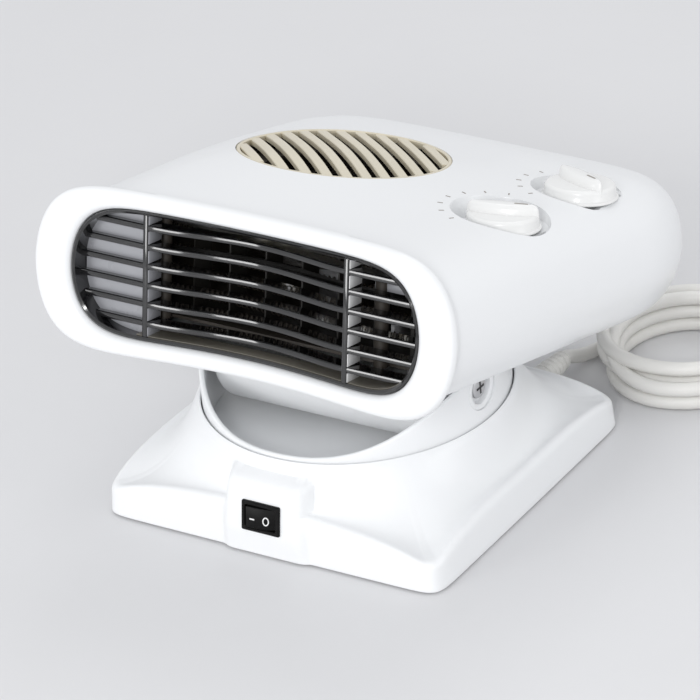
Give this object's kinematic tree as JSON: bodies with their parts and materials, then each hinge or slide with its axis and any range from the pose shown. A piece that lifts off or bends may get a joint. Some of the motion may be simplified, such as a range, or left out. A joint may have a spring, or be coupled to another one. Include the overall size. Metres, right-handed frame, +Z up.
{
  "type": "fan heater",
  "caption": "Flat white fan heater with a black slatted air outlet, a round intake on top and two knobs, tilting on a turret that swings on a square stand with a rocker switch and coiled cord.",
  "frame": {"origin": "on the floor at the centre of the stand, under the turret's swing axis", "axes": "+Z up, -Y the side that the air blows out of, +X to the right as seen from the front"},
  "size_m": [0.2896, 0.2934, 0.1747],
  "materials": {
    "white_plastic": "glossy moulded white ABS",
    "white_knob": "glossy moulded white",
    "grey_plastic": "matte light grey moulding",
    "rubber": "soft matte rubber",
    "screw_steel": "bright zinc",
    "motor_steel": "pressed steel",
    "black_plastic": "satin black",
    "grille_black": "glossy black",
    "intake_cream": "cream satin",
    "duct_grey": "grey heat-resistant moulding",
    "mica": "mica board",
    "element_wire": "resistance wire",
    "fan_plastic": "satin dark grey",
    "brass": "stamped brass",
    "plug_metal": "nickel plate",
    "wire_insulation": "insulation",
    "cord_white": "satin white PVC"
  },
  "bodies": {
    "base": {"base_shell": "white_plastic", "base_plate": "grey_plastic", "rubber_feet": "rubber", "base_screws": "screw_steel", "rocker_frame": "black_plastic", "switch_contacts": "brass", "swing_motor": "motor_steel", "motor_screws": "screw_steel", "thrust_washer": "grey_plastic", "terminal_block": "grey_plastic", "base_wiring": "wire_insulation", "strain_relief": "cord_white", "cord_run": "cord_white", "cord_coil": "cord_white", "cord_tail": "cord_white", "plug_body": "cord_white", "plug_pins": "plug_metal", "spindle_cap": "rubber"},
    "rocker": {"rocker": "black_plastic"},
    "crank": {"crank_arm": "grey_plastic"},
    "turret": {"turntable": "grey_plastic", "retaining_ring": "screw_steel", "turret_shell": "white_plastic", "turret_screws": "screw_steel", "pivot_bushes": "white_plastic"},
    "head": {"pivot_screws": "screw_steel", "tilt_neck": "white_plastic", "head_lower_shell": "white_plastic", "head_upper_shell": "white_plastic", "front_bezel": "white_plastic", "front_grille": "grille_black", "intake_grille": "intake_cream", "air_duct": "duct_grey", "heater_frame": "mica", "heater_coils": "element_wire", "thermal_cutout": "motor_steel", "fan_motor": "motor_steel", "motor_bracket": "motor_steel", "thermostat_body": "grey_plastic", "selector_body": "grey_plastic", "head_screws": "screw_steel", "head_wiring": "wire_insulation"},
    "fan": {"fan_shaft": "screw_steel", "fan_wheel": "fan_plastic"},
    "thermostat_knob": {"thermostat_knob": "white_knob"},
    "selector_knob": {"selector_knob": "white_knob"}
  },
  "joints": [
    {"name": "swing", "type": "hinge", "parent": "base", "child": "turret", "pos_m": [0, 0, 0.03], "axis": [0, 0, 1], "range_deg": [-26, 26]},
    {"name": "crank_turn", "type": "hinge", "parent": "base", "child": "crank", "pos_m": [0, 0.038, 0.02], "axis": [0, 0, 1], "range_deg": [-90, 90]},
    {"name": "tilt", "type": "hinge", "parent": "turret", "child": "head", "pos_m": [0, -0.0045, 0.064], "axis": [1, 0, 0], "range_deg": [-3, 12]},
    {"name": "fan_spin", "type": "hinge", "parent": "head", "child": "fan", "pos_m": [-0.028, 0.04188, 0.10803], "axis": [0, 0.213, 0.977], "continuous": true},
    {"name": "thermostat_turn", "type": "hinge", "parent": "head", "child": "thermostat_knob", "pos_m": [0.077, 0.01963, 0.13744], "axis": [0, 0.213, 0.977], "range_deg": [-270, 0]},
    {"name": "selector_turn", "type": "hinge", "parent": "head", "child": "selector_knob", "pos_m": [0.082, 0.08217, 0.12381], "axis": [0, 0.213, 0.977], "range_deg": [-180, 0]},
    {"name": "rocker_press", "type": "hinge", "parent": "base", "child": "rocker", "pos_m": [0, -0.08616, 0.02138], "axis": [0, 0.1822, 0.9833], "range_deg": [-18, 0]}
  ],
  "couplings": [
    {"joint": "crank_turn", "follows": "swing", "ratio": 3.46}
  ]
}
